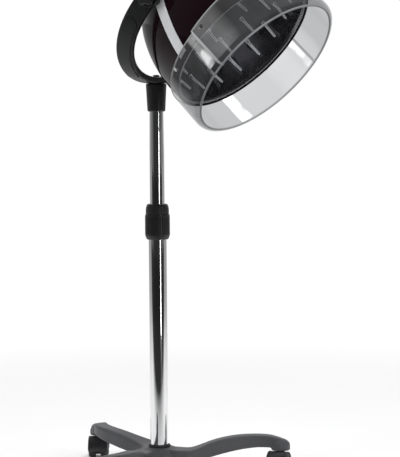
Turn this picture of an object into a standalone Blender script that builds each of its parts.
"""Hood hair dryer on a height-adjustable rolling stand.

Frame: metres, +Z up, hood facing -Y, so its right is -X. The origin is the centre of
the base hub's flat underside. Heights below are above the floor, and one empty brings
them all down to that origin. Each named object is one separable piece; empties stand
on the joint axes.
"""

import math

import bmesh
import bpy
import numpy as np
from mathutils import Matrix, Vector

# ---------------------------------------------------------------- driving dimensions
# Pairs ending in _Z are (low, high). Each section heads its own smaller sizes.
GAP = 0.0003                 # clearance between touching pieces
SIDES = (("right", -1), ("left", 1))

# base
LEG_ANGLES = (67.7, -52.3, -172.3)   # degrees about +Z
LEG_REACH = 0.288            # pole axis to castor stem
HUB_UNDER = 0.030
HUB_TOP = 0.066
STEM_R = 0.0055

# pole
LOWER_R, LOWER_WALL = 0.0210, 0.0020
LOWER_Z = (0.0400, 0.630)
UPPER_R, UPPER_WALL = 0.0171, 0.0016
UPPER_Z = (0.290, 0.905)
OUTSIDE_LOWER = LOWER_R + GAP               # bore that slides over the lower tube
INSIDE_LOWER = LOWER_R - LOWER_WALL - GAP   # radius that slides inside it
OUTSIDE_UPPER = UPPER_R + GAP               # bore that slides over the upper tube

# yoke and tilt axis
PIVOT_FWD = 0.124            # tilt axis ahead of the pole axis
PIVOT_Z = 1.124
TILT_AXIS = (0, -PIVOT_FWD, PIVOT_Z)
TILT = 48.0                  # hood axis off the vertical at rest, degrees
YOKE_DROP = 0.192            # tilt axis down to the yoke's lowest point
YOKE_HALF = 0.188            # pole axis out to the arm's centre at the pivot
YOKE_T = 0.015               # arm thickness

# hood; S_ marks a station, measured along the hood's axis from the visor's opening
S_PIVOT = 0.250
S_RIM = 0.084
S_TAPER = 0.11               # the dome begins here
S_CROWN = 0.385
HOOD_R = 0.1905
HOOD_WALL = 0.003


# ---------------------------------------------------------------- scene set-up
for old in list(bpy.data.objects):
    bpy.data.objects.remove(old, do_unlink=True)
for old in list(bpy.data.collections):
    bpy.data.collections.remove(old)

parts = bpy.data.collections.new("hood_hair_dryer")
cutters = bpy.data.collections.new("cutters")
bpy.context.scene.collection.children.link(parts)
bpy.context.scene.collection.children.link(cutters)


def material(name, colour, roughness, metallic=0.0, transmission=0.0):
    made = bpy.data.materials.new(name)
    made.use_nodes = True
    shader = made.node_tree.nodes["Principled BSDF"]
    shader.inputs["Base Color"].default_value = (*colour, 1.0)
    shader.inputs["Roughness"].default_value = roughness
    shader.inputs["Metallic"].default_value = metallic
    shader.inputs["Transmission Weight"].default_value = transmission
    made.diffuse_color = (*colour, 1.0)
    return made


BASE_GREY = material("base_nylon", colour=(0.045, 0.046, 0.050), roughness=0.45)
CASTER_BLACK = material("caster_nylon", colour=(0.030, 0.030, 0.032), roughness=0.5)
CHROME = material("chrome", colour=(0.80, 0.80, 0.81), roughness=0.06, metallic=1.0)
STEEL = material("steel", colour=(0.55, 0.55, 0.56), roughness=0.3, metallic=1.0)
BLACK = material("black_plastic", colour=(0.015, 0.015, 0.017), roughness=0.4)
YOKE_GREY = material("yoke_grey", colour=(0.075, 0.077, 0.082), roughness=0.42)
GLOSS = material("hood_gloss", colour=(0.006, 0.006, 0.007), roughness=0.06)
SILVER = material("silver_band", colour=(0.62, 0.63, 0.64), roughness=0.25, metallic=0.8)
BOWL = material("bowl_black", colour=(0.012, 0.012, 0.013), roughness=0.25)
CLEAR = material("smoked_clear", colour=(0.55, 0.56, 0.57), roughness=0.05, transmission=0.9)
COPPER = material("winding_copper", colour=(0.62, 0.30, 0.16), roughness=0.35, metallic=1.0)
MICA = material("mica", colour=(0.55, 0.50, 0.40), roughness=0.6)
RUBBER = material("rubber", colour=(0.012, 0.012, 0.012), roughness=0.8)


# ---------------------------------------------------------------- building helpers
def polar(radius, angle, z=0.0):
    """The point at a radius and an angle (radians) about Z."""
    return (radius * math.cos(angle), radius * math.sin(angle), z)


def outward(side):
    """The rotation that lays local +Z along +X (side 1) or -X (side -1)."""
    return (0, math.radians(90 * side), 0)


ALONG_X = outward(1)


def empty(name, location, parent=None, rotation=(0, 0, 0)):
    made = bpy.data.objects.new(name, None)
    made.empty_display_size = 0.03
    made.location = location
    made.rotation_euler = rotation
    made.parent = parent
    parts.objects.link(made)
    return made


def mesh_object(name, mesh, parent=None, mat=None, location=(0, 0, 0), rotation=(0, 0, 0)):
    """A piece if it has a material, otherwise a hidden helper for booleans."""
    made = bpy.data.objects.new(name, mesh)
    made.parent = parent
    made.location = location
    made.rotation_euler = rotation
    if mat:
        parts.objects.link(made)
        mesh.materials.append(mat)
    else:
        cutters.objects.link(made)
        made.hide_render = True
        made.display_type = "WIRE"
    return made


def bmesh_object(name, bm, *placing, **more):
    """The same from a bmesh, which is freed."""
    mesh = bpy.data.meshes.new(name)
    bm.to_mesh(mesh)
    bm.free()
    return mesh_object(name, mesh, *placing, **more)


def turned(name, profile, parent, mat=None, *, steps, sweep=360.0, wall=0.0, loop=False, **placing):
    """A profile of (radius, height) turned about local Z. Its outer side runs downwards."""
    mesh = bpy.data.meshes.new(name)
    count = len(profile)
    edges = [(i, i + 1) for i in range(count - 1)] + ([(count - 1, 0)] if loop else [])
    mesh.from_pydata([(r, 0.0, z) for r, z in profile], edges, [])
    made = mesh_object(name, mesh, parent, mat, **placing)
    screw = made.modifiers.new("turn", "SCREW")
    screw.angle = math.radians(sweep)
    screw.steps = screw.render_steps = steps
    screw.use_merge_vertices = sweep >= 360.0
    screw.merge_threshold = 0.00002
    screw.use_smooth_shade = True
    if wall:
        shell_wall = made.modifiers.new("wall", "SOLIDIFY")
        shell_wall.thickness = wall
        shell_wall.offset = -1.0
        shell_wall.use_even_offset = True
    return made


def outer_side(radius, low, high, chamfer):
    """Profile of a cylinder's outside from top to bottom."""
    if not chamfer:
        return [(radius, high), (radius, low)]
    inset = radius - chamfer
    return [(inset, high), (radius, high - chamfer), (radius, low + chamfer), (inset, low)]


def ring(name, inner, outer, low, high, parent, mat=None, chamfer=0.0, **more):
    """A plain tube or ring."""
    profile = outer_side(outer, low, high, chamfer) + [(inner, low), (inner, high)]
    return turned(name, profile, parent, mat, loop=True, **more)


def disc(name, radius, low, high, parent, mat=None, chamfer=0.0, **more):
    """A solid cylinder."""
    profile = [(0, high)] + outer_side(radius, low, high, chamfer) + [(0, low)]
    return turned(name, profile, parent, mat, **more)


def block(name, size, parent, mat=None, bevel=0.0, **placing):
    bm = bmesh.new()
    bmesh.ops.create_cube(bm, size=1.0)
    bmesh.ops.scale(bm, vec=size, verts=bm.verts)
    made = bmesh_object(name, bm, parent, mat, **placing)
    if bevel:
        edge = made.modifiers.new("edges", "BEVEL")
        edge.width = bevel
        edge.segments = 2
    return made


def loft(name, sections, parent, mat=None, **placing):
    """Skins equal-count rings of points, and caps both ends."""
    bm = bmesh.new()
    rows = [[bm.verts.new(point) for point in section] for section in sections]
    for row, following in zip(rows, rows[1:]):
        for i in range(len(row)):
            j = (i + 1) % len(row)
            bm.faces.new((row[i], row[j], following[j]))
            bm.faces.new((row[i], following[j], following[i]))
    bm.faces.new(rows[0][::-1])
    bm.faces.new(rows[-1])
    bmesh.ops.recalc_face_normals(bm, faces=bm.faces)
    return bmesh_object(name, bm, parent, mat, **placing)


def boolean(piece, tool, operation):
    step = piece.modifiers.new(operation.lower(), "BOOLEAN")
    step.operation = operation
    step.object = tool
    step.solver = "EXACT"


def cut(piece, tool):
    boolean(piece, tool, "DIFFERENCE")


def fuse(piece, tool):
    boolean(piece, tool, "UNION")


def drill(piece, name, radius, low, high, parent, **more):
    """Cuts a round hole along the drill's local Z, from low to high."""
    cut(piece, disc(name, radius, low, high, parent, **more))


def joined(name, tools):
    """Several helper objects as one helper, in world coordinates."""
    bpy.context.view_layer.update()
    graph = bpy.context.evaluated_depsgraph_get()
    bm = bmesh.new()
    for tool in tools:
        mesh = bpy.data.meshes.new_from_object(tool.evaluated_get(graph))
        mesh.transform(tool.matrix_world)
        bm.from_mesh(mesh)
        bpy.data.meshes.remove(mesh)
    made = bmesh_object(name, bm)
    for tool in tools:
        bpy.data.objects.remove(tool, do_unlink=True)
    return made


# ---------------------------------------------------------------- star base
# stations along a leg: distance out, top, underside, half width, sideways sweep
LEG_STATIONS = (
    (0.020, 0.0640, 0.0330, 0.0340, -0.004),
    (0.048, 0.0622, 0.0335, 0.0325, -0.013),
    (0.074, 0.0622, 0.0345, 0.0285, -0.016),
    (0.100, 0.0685, 0.0372, 0.0240, -0.006),
    (0.125, 0.0757, 0.0412, 0.0208, 0.006),
    (0.156, 0.0820, 0.0472, 0.0192, 0.016),
    (0.190, 0.0858, 0.0532, 0.0186, 0.0225),
    (0.228, 0.0873, 0.0582, 0.0184, 0.0215),
    (0.258, 0.0872, 0.0595, 0.0184, 0.0125),
    (0.274, 0.0850, 0.0585, 0.0180, 0.0055),
    (0.288, 0.0795, 0.0567, 0.0100, 0.0),
)
# a leg's section: across in half widths, up in heights
LEG_OUTLINE = ((-0.97, 0.0), (0.97, 0.0), (1.0, 0.80), (0.92, 0.94),
               (0.66, 1.0), (-0.66, 1.0), (-0.92, 0.94), (-1.0, 0.80))
LEG_END_R = 0.0225
# domed boss at a leg's end: radius, height
LEG_BOSS = ((0, 0.0812), (0.0080, 0.0800), (0.0140, 0.0772), (0.0185, 0.0730),
            (0.0215, 0.0680), (LEG_END_R, 0.0630), (LEG_END_R, 0.0545),
            (0.0205, 0.0530), (0, 0.0530))
CROWN_FOOT = HUB_TOP - 0.008
HUB_CROWN = ((0, HUB_TOP), (0.030, HUB_TOP), (0.037, HUB_TOP - 0.0025),
             (0.041, CROWN_FOOT), (0, CROWN_FOOT))
HUB_R = 0.048
HUB_SHOULDER = 0.003         # the hub's disc stops this far below the crown's top
BOLT_Z = 0.0495
BOLT_BORE_R = 0.0036
BOLT_HEAD_R, BOLT_SHANK_R = 0.0062, 0.0033
BOLT_REACH = (0.0065, 0.0490, 0.0525)   # tip, underside of head, top of head

leg_turns = [math.radians(angle) for angle in LEG_ANGLES]
leg_ends = [polar(LEG_REACH, turn) for turn in leg_turns]
# the foot bolt lies level, in the gap between two swept legs
bolt_placing = {"location": (0, 0, BOLT_Z),
                "rotation": (0, math.radians(90), math.radians(LEG_ANGLES[1] + 48))}


def leg_section(reach, top, low, half, sweep):
    """A rounded bar section standing across the leg."""
    return [(reach, sweep + half * u, low + (top - low) * v) for u, v in LEG_OUTLINE]


root = empty("base_frame", (0, 0, -HUB_UNDER))
leg_sections = [leg_section(*row) for row in LEG_STATIONS]

star = disc("star_base", HUB_R, HUB_UNDER, HUB_TOP - HUB_SHOULDER, root, BASE_GREY,
            chamfer=0.004, steps=28)
for index, (turn, end) in enumerate(zip(leg_turns, leg_ends)):
    fuse(star, loft(f"leg_{index}", leg_sections, root, rotation=(0, 0, turn)))
    fuse(star, turned(f"leg_boss_{index}", LEG_BOSS, root, location=end, steps=20))
fuse(star, turned("hub_crown", HUB_CROWN, root, steps=28))
drill(star, "bore_pole", OUTSIDE_LOWER, LOWER_Z[0] - GAP, 0.10, root, steps=28)
drill(star, "bore_bolt", BOLT_BORE_R, 0.010, 0.060, root, steps=10, **bolt_placing)
for index, end in enumerate(leg_ends):
    drill(star, f"bore_stem_{index}", STEM_R + 0.0004, 0.045, 0.0745, root, location=end, steps=12)

# ring round the pole on top of the hub
ring("hub_ring", OUTSIDE_LOWER, 0.0262, HUB_TOP + GAP, 0.0712, root, RUBBER,
     chamfer=0.0012, steps=24)

# plug inside the pole's foot, which the foot bolt enters
foot_plug = disc("pole_foot_plug", INSIDE_LOWER, LOWER_Z[0], 0.076, root, STEEL, steps=20)
drill(foot_plug, "bore_plug", BOLT_BORE_R, 0.006, 0.030, root, steps=10, **bolt_placing)

tip, under_head, head_top = BOLT_REACH
turned("foot_bolt", [(0, head_top), (BOLT_HEAD_R, head_top), (BOLT_HEAD_R, under_head),
                     (BOLT_SHANK_R, under_head), (BOLT_SHANK_R, tip), (0, tip)],
       root, STEEL, steps=10, **bolt_placing)

# ---------------------------------------------------------------- castors
WHEEL_R = 0.0245
WHEEL_W = 0.017
WHEEL_INNER_X = 0.0065
CASTER_TRAIL = 0.018
CASTER_TURN = (212.0, 196.0, 143.0)  # trailing direction of each castor, degrees
AXLE_AT = (0, CASTER_TRAIL, WHEEL_R)
# the cowl's section: distance from the axle, place along it
COWL_OUTLINE = ((0.0256, 0.0240), (0.0270, 0.0240), (0.0280, 0.0226),
                (0.0280, -0.0226), (0.0270, -0.0240), (0.0256, -0.0240))
COWL_START, COWL_SWEEP, COWL_STEPS = -12, 204, 12   # degrees from the trailing side, up and over
NECK_SIZE = (0.0110, 0.034, 0.0190)
NECK_AT = (0, CASTER_TRAIL - 0.0035, 0.0418)
wheel_far = WHEEL_INNER_X + WHEEL_W
# a wheel dished on its outer face: radius, distance out from the castor's middle
WHEEL_PROFILE = ((0.0225, wheel_far), (WHEEL_R, wheel_far - 0.0030),
                 (WHEEL_R, WHEEL_INNER_X + 0.0020), (0.0228, WHEEL_INNER_X),
                 (0.0033, WHEEL_INNER_X), (0.0033, wheel_far - 0.0010))


def cowl_sections():
    """The arched cowl's sections, swept about the axle."""
    rows = []
    for step in range(COWL_STEPS + 1):
        around = math.radians(COWL_START + COWL_SWEEP * step / COWL_STEPS)
        rows.append([(x, r * math.cos(around), r * math.sin(around)) for r, x in COWL_OUTLINE])
    return rows


def caster(index, end, trailing):
    """A twin-wheel castor; local +Y is its trailing direction."""
    swivel = empty(f"caster_swivel_{index}", end, root, (0, 0, math.radians(trailing - 90)))
    on_axle = {"location": AXLE_AT, "rotation": ALONG_X}
    body = disc(f"caster_body_{index}", 0.0168, -0.0055, 0.0055, swivel, CASTER_BLACK,
                steps=16, **on_axle)
    fuse(body, loft(f"caster_hood_{index}", cowl_sections(), swivel, location=AXLE_AT))
    fuse(body, block(f"caster_neck_{index}", NECK_SIZE, swivel, location=NECK_AT))
    fuse(body, disc(f"caster_boss_{index}", 0.0086, 0.0482, 0.0525, swivel, steps=14))
    fuse(body, disc(f"caster_stem_{index}", STEM_R, 0.0490, 0.0730, swivel,
                    chamfer=0.0008, steps=12))
    drill(body, f"caster_bore_{index}", 0.0033, -0.02, 0.02, swivel, steps=10, **on_axle)
    disc(f"caster_axle_{index}", 0.0030, -0.0232, 0.0232, swivel, STEEL, steps=10, **on_axle)
    for letter, side in (("a", -1), ("b", 1)):
        wheel_axis = empty(f"caster_spin_{index}{letter}", AXLE_AT, swivel)
        turned(f"caster_wheel_{index}{letter}", WHEEL_PROFILE, wheel_axis, CASTER_BLACK,
               rotation=outward(side), steps=20, loop=True)


for index, (end, trailing) in enumerate(zip(leg_ends, CASTER_TURN), start=1):
    caster(index, end, trailing)

# ---------------------------------------------------------------- pole
COLLAR_R = 0.0292
COLLAR_Z = (0.559, 0.618)
COLLET_Z = (0.598, 0.631)
LOCK_RING_Z = (0.6185, 0.642)
LOCK_RING_BORE = UPPER_R + 0.0005    # the narrow upper part of its bore
BUSH_Z = (UPPER_Z[0] + 0.004, UPPER_Z[0] + 0.034)

lower_tube = ring("lower_tube", LOWER_R - LOWER_WALL, LOWER_R, *LOWER_Z, root, CHROME, steps=28)
drill(lower_tube, "bore_tube_foot", BOLT_BORE_R, 0.010, 0.030, root, steps=10, **bolt_placing)

# collar round the top of the lower tube
low, high = COLLAR_Z
turned("collar_body", [(0.0275, high), (COLLAR_R, high - 0.003), (COLLAR_R, low + 0.010),
                       (0.0262, low + 0.0015), (0.0252, low),
                       (OUTSIDE_LOWER, low), (OUTSIDE_LOWER, high)],
       root, BLACK, steps=24, loop=True)

# collet between the two tubes
low, high = COLLET_Z
turned("pole_collet", [(INSIDE_LOWER, high), (INSIDE_LOWER, low),
                       (OUTSIDE_UPPER, low), (OUTSIDE_UPPER, high)],
       root, BLACK, steps=20, loop=True)

# lock ring above the collar, its bore stepping in over the lower tube's end
lock_ring_axis = empty("lock_ring_axis", (0, 0, 0), root)
low, high = LOCK_RING_Z
turned("lock_ring", [(0.0235, high), (0.0266, high - 0.0060), (0.0274, low),
                     (OUTSIDE_LOWER, low), (OUTSIDE_LOWER, 0.6325),
                     (LOCK_RING_BORE, 0.6345), (LOCK_RING_BORE, high)],
       lock_ring_axis, BLACK, steps=24, loop=True)

lift = empty("pole_lift", (0, 0, 0), root)
ring("upper_tube", UPPER_R - UPPER_WALL, UPPER_R, *UPPER_Z, lift, CHROME, steps=28)
ring("slide_bush", OUTSIDE_UPPER, INSIDE_LOWER, *BUSH_Z, lift, BLACK, steps=20)

# ---------------------------------------------------------------- yoke
SOCKET_Z = (0.859, 0.9245)
SOCKET_R = (0.0208, 0.0243)          # bottom, top
YOKE_BOLT_BORE = 0.0044
YOKE_BOLT_FOOT = 0.9062
BOSS_R = 0.028
BOSS_PROUD = 0.0004                  # boss beyond each face of the arm
YOKE_CHAMFER = 0.0028
YOKE_STEPS = 24
COVER_GAP, COVER_TOP = 0.0004, 0.0026  # the cover's two faces above the arm's outer face
COVER_INSET = 0.0045                 # cover's edge inside the arm's edge
# cover stations, in steps of 180 / YOKE_STEPS degrees from the yoke's lowest point
COVER_STEPS = {"right": range(-10, -2), "left": range(3, 11)}

yoke = empty("yoke_swivel", (0, 0, 0), lift)

# tapered socket over the top of the pole
low, high = SOCKET_Z
low_r, high_r = SOCKET_R
socket = turned("yoke_socket", [(0, high), (high_r - 0.002, high), (high_r, high - 0.002),
                                (low_r + 0.0002, low + 0.0022), (low_r - 0.0018, low), (0, low)],
                yoke, BLACK, steps=28)
drill(socket, "bore_socket", OUTSIDE_UPPER, low - 0.01, UPPER_Z[1] + GAP, yoke, steps=28)
drill(socket, "bore_yoke_bolt", YOKE_BOLT_BORE, 0.900, 0.94, yoke, steps=12)


def yoke_centre(angle):
    """The centreline at an angle from the lowest point: square-shouldered, leaning forward."""
    x = YOKE_HALF * math.copysign(abs(math.sin(angle)) ** 0.88, angle)
    y = -PIVOT_FWD * (1 - math.cos(angle)) ** 1.6
    return Vector((x, y, PIVOT_Z - YOKE_DROP * math.cos(angle)))


def yoke_half_width(angle):
    return 0.0175 + 0.0055 * math.sin(angle) ** 2


def yoke_points(angle, outline):
    """Sets an outline of (across the arm's width, through its thickness) on the centreline."""
    step = math.radians(1.5)
    before, after = max(angle - step, -math.pi / 2), min(angle + step, math.pi / 2)
    along = (yoke_centre(after) - yoke_centre(before)).normalized()
    through = Vector((0, 1, 0)).cross(along).normalized()
    across = along.cross(through).normalized()
    centre = yoke_centre(angle)
    return [centre + across * u + through * v for u, v in outline]


def yoke_section(angle):
    half, thick, c = yoke_half_width(angle), YOKE_T / 2, YOKE_CHAMFER
    return yoke_points(angle, [
        (half - c, thick), (half, thick - c), (half, -thick + c), (half - c, -thick),
        (-half + c, -thick), (-half, -thick + c), (-half, thick - c), (-half + c, thick)])


def cover_section(angle):
    half = yoke_half_width(angle) - COVER_INSET
    under, top = YOKE_T / 2 + COVER_GAP, YOKE_T / 2 + COVER_TOP
    return yoke_points(angle, [
        (half, under), (half, top - 0.0008), (half - 0.0016, top),
        (-half + 0.0016, top), (-half, top - 0.0008), (-half, under)])


frame = loft("yoke_frame", [yoke_section(math.radians(-90 + 180 * i / YOKE_STEPS))
                            for i in range(YOKE_STEPS + 1)], yoke, YOKE_GREY)
arm_ends = {name: {"location": (side * YOKE_HALF, -PIVOT_FWD, PIVOT_Z), "rotation": ALONG_X}
            for name, side in SIDES}
boss_half = YOKE_T / 2 + BOSS_PROUD
for name, placing in arm_ends.items():
    fuse(frame, disc(f"yoke_boss_{name}", BOSS_R, -boss_half, boss_half, yoke,
                     chamfer=0.0015, steps=24, **placing))
for name, placing in arm_ends.items():
    drill(frame, f"yoke_bore_{name}", 0.0053, -0.03, 0.03, yoke, steps=14, **placing)
drill(frame, "bore_yoke_centre", YOKE_BOLT_BORE, 0.90, 0.96, yoke, steps=12)

# bolt down through the yoke into the socket
yoke_top = PIVOT_Z - YOKE_DROP + YOKE_T / 2
turned("yoke_bolt", [(0, yoke_top + 0.0052), (0.0065, yoke_top + 0.0052),
                     (0.0078, yoke_top + 0.0040), (0.0078, yoke_top + 0.0006),
                     (0.0040, yoke_top + 0.0006), (0.0040, YOKE_BOLT_FOOT), (0, YOKE_BOLT_FOOT)],
       yoke, STEEL, steps=12)

# thin cover strip on each arm
for name, steps in COVER_STEPS.items():
    loft(f"yoke_cover_{name}", [cover_section(math.pi * i / YOKE_STEPS) for i in steps],
         yoke, YOKE_GREY)

# ---------------------------------------------------------------- hood shell and bands
CROWN_HOLE_R = 0.045
PIVOT_BORE_R = 0.0056
PIVOT_BORE_X = (0.13, 0.22)          # the drill's reach out from the hood's axis
BAND_W = 0.027
BAND_T = 0.0012
BAND_LIFT = 0.0012                   # band's inner face above the hood's surface
BAND_TOP_R = 0.060                   # the band stops where the hood narrows to this
# the band's middle, behind the sideways direction: stations, degrees
BAND_LEAN = ((0.08, 0.14, 0.20, 0.25), (13, 8.5, 3.5, 0.0))

pivot = empty("hood_tilt", TILT_AXIS, yoke, (math.radians(-TILT), 0, 0))


def z_of(s):
    """Height of a station in the hood's own frame, whose origin is on the tilt axis."""
    return s - S_PIVOT


def hood_radius(s):
    """Outer radius: nearly straight up to S_TAPER, then domed to nothing at the crown."""
    if s <= S_TAPER:
        return HOOD_R - 0.0012 * (S_TAPER - s) / 0.04
    x = min((s - S_TAPER) / (S_CROWN - S_TAPER), 1.0)
    return HOOD_R * (1 - x ** 2.1) ** 0.62


def hood_stations(first, last, count):
    """Stations spaced closer towards the crown."""
    return [first + (last - first) * (1 - (1 - i / (count - 1)) ** 1.35) for i in range(count)]


def station_at(radius):
    """The highest station where the hood is at least this wide."""
    return max(s for s in np.linspace(S_RIM, S_CROWN, 2000) if hood_radius(s) >= radius)


def drill_pivot(piece, name, side):
    drill(piece, name, PIVOT_BORE_R, *PIVOT_BORE_X, pivot, rotation=outward(side), steps=12)


shell = turned("hood_shell", [(hood_radius(s), z_of(s)) for s in
                              reversed(hood_stations(S_RIM, station_at(CROWN_HOLE_R), 10))],
               pivot, GLOSS, steps=36, wall=HOOD_WALL)
for name, side in SIDES:
    drill_pivot(shell, f"shell_bore_{name}", side)


def trim_band(name, side):
    """Bright band up one side, from under the visor over the pivot to the intake cap."""
    bm = bmesh.new()
    grid = []
    for s in hood_stations(S_RIM + 0.010, station_at(BAND_TOP_R), 13):
        lean = math.radians(np.interp(s, *BAND_LEAN))
        r = hood_radius(s) + BAND_LIFT
        angles = [lean + BAND_W / 2 / r * i for i in (-1, 0, 1)]
        grid.append([bm.verts.new((side * r * math.cos(around), r * math.sin(around), z_of(s)))
                     for around in angles])
    for row, above in zip(grid, grid[1:]):
        for i in range(2):
            quad = (row[i], row[i + 1], above[i + 1], above[i])
            bm.faces.new(quad if side > 0 else quad[::-1])
    band = bmesh_object(f"trim_band_{name}", bm, pivot, SILVER)
    skin = band.modifiers.new("wall", "SOLIDIFY")
    skin.thickness = BAND_T
    skin.offset = 1.0
    drill_pivot(band, f"band_bore_{name}", side)


for name, side in SIDES:
    trim_band(name, side)

# ---------------------------------------------------------------- inner bowl
BOWL_WALL = 0.002
# the bowl's outside: stations, radii
BOWL_S = (0.0865, 0.0895, 0.125, 0.175, 0.207, 0.234, 0.257, 0.281, 0.296, 0.300)
BOWL_R = (0.1840, 0.1785, 0.1745, 0.1690, 0.1590, 0.1445, 0.1250, 0.0900, 0.0450, 0.0)
# rows of pins: tip station, root station, count, first one's angle in degrees
PIN_ROWS = ((0.112, 0.160, 12, 0.0), (0.172, 0.212, 6, 15.0))
PIN_STAND = 0.013                    # pin's tip inside the bowl's outer radius
PIN_ROOT_R, PIN_TIP_R = 0.0022, 0.0018
SLOT_SIZE = (0.05, 0.006, 0.030)
SLOT_RING_R = 0.1725
SLOT_S = 0.150


def air_pin(tip_s, root_s, around):
    """A tapered pin on the inside of the bowl."""
    root_r = np.interp(root_s, BOWL_S, BOWL_R) - BOWL_WALL * 0.6
    tip_r = np.interp(tip_s, BOWL_S, BOWL_R) - PIN_STAND
    start = Vector(polar(root_r, around, z_of(root_s)))
    tip = Vector(polar(tip_r, around, z_of(tip_s)))
    along = tip - start
    aim = along.normalized().to_track_quat("Z", "Y").to_matrix().to_4x4()
    bm = bmesh.new()
    bmesh.ops.create_cone(bm, cap_ends=True, segments=5, radius1=PIN_ROOT_R, radius2=PIN_TIP_R,
                          depth=along.length, matrix=Matrix.Translation((start + tip) / 2) @ aim)
    return bmesh_object("pin", bm, pivot)


def air_slot(around):
    return block("slot", SLOT_SIZE, pivot, location=polar(SLOT_RING_R, around, z_of(SLOT_S)),
                 rotation=(0, 0, around))


bowl = turned("inner_bowl", [(r, z_of(s)) for s, r in zip(BOWL_S[::-1], BOWL_R[::-1])],
              pivot, BOWL, steps=30, wall=BOWL_WALL)
fuse(bowl, joined("air_pins", [air_pin(tip_s, root_s, math.radians(first + 360 * i / count))
                               for tip_s, root_s, count, first in PIN_ROWS
                               for i in range(count)]))
cut(bowl, joined("air_slots", [air_slot(math.radians(22.5 + 45 * i)) for i in range(8)]))

# ---------------------------------------------------------------- visor
VISOR_R = 0.1985
VISOR_WALL = 0.003
# radius, height from the top down to the opening; the top is trimmed off by a slope
VISOR_PROFILE = ((0.1955, z_of(0.150)), (VISOR_R, z_of(0.016)), (0.1970, z_of(0.0065)),
                 (0.1930, z_of(0.0018)), (0.1850, z_of(0.0)))
SEAM_DEG = 4.4               # seam ahead of the sideways direction
SEAM_GAP = 0.10              # degrees each half stops short of the seam
FRONT_EDGE = (0.1055, 0.095)  # front half's upper edge: station at the sides, rise per metre forward
REAR_EDGE = (0.1020, 0.020)  # rear half's upper edge, the same way
STUD_R = 0.0030
STUD_FOOT = 0.1862
# distance out from the hood's axis runs along the stud
STUD_PROFILE = ((0, 0.2000), (0.0045, 0.1996), (0.0060, 0.1984), (STUD_R, 0.1979),
                (STUD_R, STUD_FOOT), (0, STUD_FOOT))


def trim_edge(half, name, station, rise):
    """Cuts away everything above a sloping plane."""
    size, height = 0.6, 0.2
    lean = math.atan(rise)
    centre = (0, height / 2 * math.sin(lean), z_of(station) + height / 2 * math.cos(lean))
    cut(half, block(name, (size, size, height), pivot, location=centre, rotation=(-lean, 0, 0)))


def visor_half(name, start, sweep, steps):
    return turned(name, VISOR_PROFILE, pivot, CLEAR, rotation=(0, 0, math.radians(start)),
                  steps=steps, sweep=sweep, wall=VISOR_WALL)


def visor_stud(name, half, around, s):
    """A stud through the visor and the hood shell."""
    placing = {"location": (0, 0, z_of(s)),
               "rotation": (0, math.radians(90), math.radians(around))}
    hole = disc(f"stud_bore_{name}", 0.0034, 0.180, 0.21, pivot, steps=10, **placing)
    cut(half, hole)
    cut(shell, hole)
    turned(f"visor_stud_{name}", STUD_PROFILE, pivot, STEEL, steps=10, **placing)


front = visor_half("visor_front", 180 + SEAM_DEG + SEAM_GAP, 180 - 2 * (SEAM_DEG + SEAM_GAP), 18)
rear = visor_half("visor_rear", -SEAM_DEG + SEAM_GAP, 180 + 2 * (SEAM_DEG - SEAM_GAP), 20)
trim_edge(front, "front_edge", *FRONT_EDGE)
trim_edge(rear, "rear_edge", *REAR_EDGE)
# name, half, degrees about the hood's axis, station
for stud in (("front_right", front, 180 + 12, 0.096), ("front_left", front, -12, 0.096),
             ("rear_right", rear, 180 - 24, 0.092), ("rear_left", rear, 24, 0.092)):
    visor_stud(*stud)

# ---------------------------------------------------------------- tilt pivots
# bolt with its head inside the hood: radius, distance out
PIVOT_BOLT = ((0, 0.1965), (0.0050, 0.1965), (0.0050, 0.1480),
              (0.0095, 0.1480), (0.0095, 0.1420), (0, 0.1420))
# the six-lobed knob: distance out, scale of its outline
KNOB_LEVELS = ((0.1972, 0.93), (0.1985, 1.0), (0.2075, 1.0), (0.2112, 0.88))
KNOB_R, KNOB_LOBE = 0.0235, 0.0024
KNOB_POINTS = 24


def knob_section(x, scale):
    points = []
    for i in range(KNOB_POINTS):
        around = 2 * math.pi * i / KNOB_POINTS
        r = scale * (KNOB_R + KNOB_LOBE * math.cos(6 * around))
        points.append((x, r * math.cos(around), r * math.sin(around)))
    return points


for name, side in SIDES:
    ring(f"pivot_spacer_{name}", PIVOT_BORE_R, 0.0160, 0.1712, 0.1782, pivot, BLACK,
         rotation=outward(side), steps=20)
    turned(f"pivot_bolt_{name}", PIVOT_BOLT, pivot, STEEL, rotation=outward(side), steps=14)
    knob_axis = empty(f"tilt_knob_axis_{name}", TILT_AXIS, yoke)
    loft(f"tilt_knob_{name}", [knob_section(side * x, scale) for x, scale in KNOB_LEVELS],
         knob_axis, BLACK)

# ---------------------------------------------------------------- fan and heater
WINDOW_R, WINDOW_RING_R, WINDOWS = 0.021, 0.058, 5
SHAFT_R, FAN_BORE_R = 0.0030, 0.0033
VANES = 7
VANE_SIZE = (0.026, 0.0016, 0.0140)
VANE_RING_R, VANE_Z = 0.041, 0.0640
VANE_TURN = 0.6                      # vane off the radial direction, radians
COIL_R, COIL_WIRE_R, COIL_Z = 0.106, 0.0045, 0.0365
COIL_POINTS = 6
COIL_SECTIONS, COIL_DIVISIONS = 28, 29   # one section short, so the ring stays open

fan_axis = empty("fan_axis", (0, 0, 0), pivot)

# motor plate with a ring of round windows
plate = ring("motor_bracket", 0.0060, 0.0960, 0.0760, 0.0780, pivot, STEEL, steps=28)
cut(plate, joined("bracket_windows", [
    disc("window", WINDOW_R, 0.070, 0.085, pivot, steps=12,
         location=polar(WINDOW_RING_R, math.pi * (2 * i + 1) / WINDOWS))
    for i in range(WINDOWS)]))

disc("fan_motor", 0.0270, 0.0784, 0.1090, pivot, STEEL, chamfer=0.003, steps=20)
disc("motor_shaft", SHAFT_R, 0.0545, 0.0780, fan_axis, STEEL, steps=10)

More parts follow.
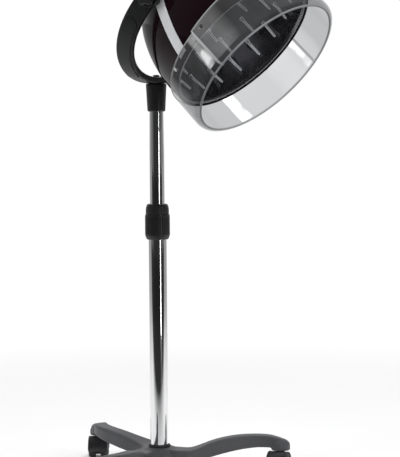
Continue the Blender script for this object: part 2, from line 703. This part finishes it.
# impeller: a back plate, a hub and straight vanes
fan = ring("fan_impeller", FAN_BORE_R, 0.0560, 0.0556, 0.0576, fan_axis, BLACK, steps=24)
vanes = [disc("vane_hub", 0.010, 0.0560, 0.0720, fan_axis, steps=12)]
for i in range(VANES):
    around = 2 * math.pi * i / VANES
    vanes.append(block("vane", VANE_SIZE, fan_axis, location=polar(VANE_RING_R, around, VANE_Z),
                       rotation=(0, 0, around + VANE_TURN)))
fuse(fan, joined("fan_vanes", vanes))
drill(fan, "fan_bore", FAN_BORE_R, 0.05, 0.08, fan_axis, steps=10)


def coil_section(around):
    """A section of the coil, standing across its ring."""
    angles = [2 * math.pi * k / COIL_POINTS for k in range(COIL_POINTS)]
    return [polar(COIL_R + COIL_WIRE_R * math.cos(t), around, COIL_Z + COIL_WIRE_R * math.sin(t))
            for t in angles]


loft("heater_coil", [coil_section(2 * math.pi * i / COIL_DIVISIONS)
                     for i in range(COIL_SECTIONS)], pivot, COPPER)
ring("heater_carrier", 0.0985, 0.1180, 0.0280, 0.0300, pivot, MICA, steps=28)

# small blocks under the carrier, both on the rear side
block("thermostat", (0.014, 0.010, 0.016), pivot, STEEL, bevel=0.001,
      location=(0.095, 0.095, 0.0145), rotation=(0, 0, math.radians(45)))
block("terminal_block", (0.012, 0.034, 0.014), pivot, MICA, bevel=0.001,
      location=(-0.0945, 0.0945, 0.0145), rotation=(0, 0, math.radians(-45)))

# ---------------------------------------------------------------- intake cap
# domed cap: radius, height in the hood's frame
CAP_PROFILE = ((0, 0.1400), (0.022, 0.1385), (0.040, 0.1330), (0.0520, 0.1250), (0.0562, 0.1190))
CAP_SLOTS = 8
CAP_SLOT_SIZE = (0.022, 0.0030, 0.03)
CAP_SLOT_RING_R, CAP_SLOT_Z = 0.030, 0.135

cap = turned("intake_cap", CAP_PROFILE, pivot, GLOSS, location=(0, 0, 0.0006), steps=24, wall=0.002)
cap_turns = [2 * math.pi * i / CAP_SLOTS for i in range(CAP_SLOTS)]
cut(cap, joined("cap_slots", [
    block("cap_slot", CAP_SLOT_SIZE, pivot, rotation=(0, 0, around),
          location=polar(CAP_SLOT_RING_R, around, CAP_SLOT_Z))
    for around in cap_turns]))

# ---------------------------------------------------------------- control panel
# The panel's frame sits on the front of the hood, local +Z square to its surface.
PANEL_S = 0.298
PANEL_SIZE = (0.124, 0.044, 0.030)
PANEL_Z = -0.0060                    # panel's centre in its own frame
PANEL_FACE = PANEL_Z + PANEL_SIZE[2] / 2
PANEL_GAP = 0.0010                   # panel's back off the hood's surface
KNOB_PROFILE = ((0, 0.0130), (0.0105, 0.0130), (0.0125, 0.0115), (0.0138, 0.0020),
                (0.0138, GAP), (0, GAP))
ROCKER_HALF = 0.0085
# the rocker's dished section: y, z
ROCKER_OUTLINE = ((-0.0068, 0.0042), (0.0, 0.0028), (0.0068, 0.0042),
                  (0.0066, -0.0022), (-0.0066, -0.0022))

slope = math.atan2(hood_radius(PANEL_S - 0.01) - hood_radius(PANEL_S + 0.01), 0.02)
panel_frame = empty("panel_frame", (0, -hood_radius(PANEL_S), z_of(PANEL_S)), pivot,
                    (math.radians(90) - slope, 0, 0))


def clearance_point(s):
    """A point just off the hood's surface, closing on the axis at the crown."""
    r = hood_radius(s) + PANEL_GAP if s < S_CROWN - 1e-6 else 0.0
    return (r, z_of(s) + (0.0006 if s > 0.3 else 0))


panel = block("control_panel", PANEL_SIZE, panel_frame, BLACK, location=(0, 0, PANEL_Z), bevel=0.004)
clearance = [clearance_point(s) for s in reversed(hood_stations(S_TAPER, S_CROWN, 22))]
cut(panel, turned("panel_clearance", clearance + [(0, z_of(S_TAPER))], pivot, steps=40))

for name, x in (("timer_knob", 0.040), ("heat_knob", -0.040)):
    knob_axis = empty(f"{name}_axis", (x, 0, PANEL_FACE), panel_frame)
    turned(name, KNOB_PROFILE, knob_axis, SILVER, steps=20)

rocker_axis = empty("rocker_axis", (0, 0, PANEL_FACE), panel_frame)
cut(panel, block("rocker_pocket", (0.0200, 0.0170, 0.0120), panel_frame,
                 location=(0, 0, PANEL_FACE)))
loft("power_rocker", [[(x, y, z) for y, z in ROCKER_OUTLINE] for x in (-ROCKER_HALF, ROCKER_HALF)],
     rocker_axis, BLACK)

# ---------------------------------------------------------------- shading
for made in parts.objects:
    if made.type == "MESH":
        made.data.shade_smooth()
        made.data.set_sharp_from_angle(angle=math.radians(35))
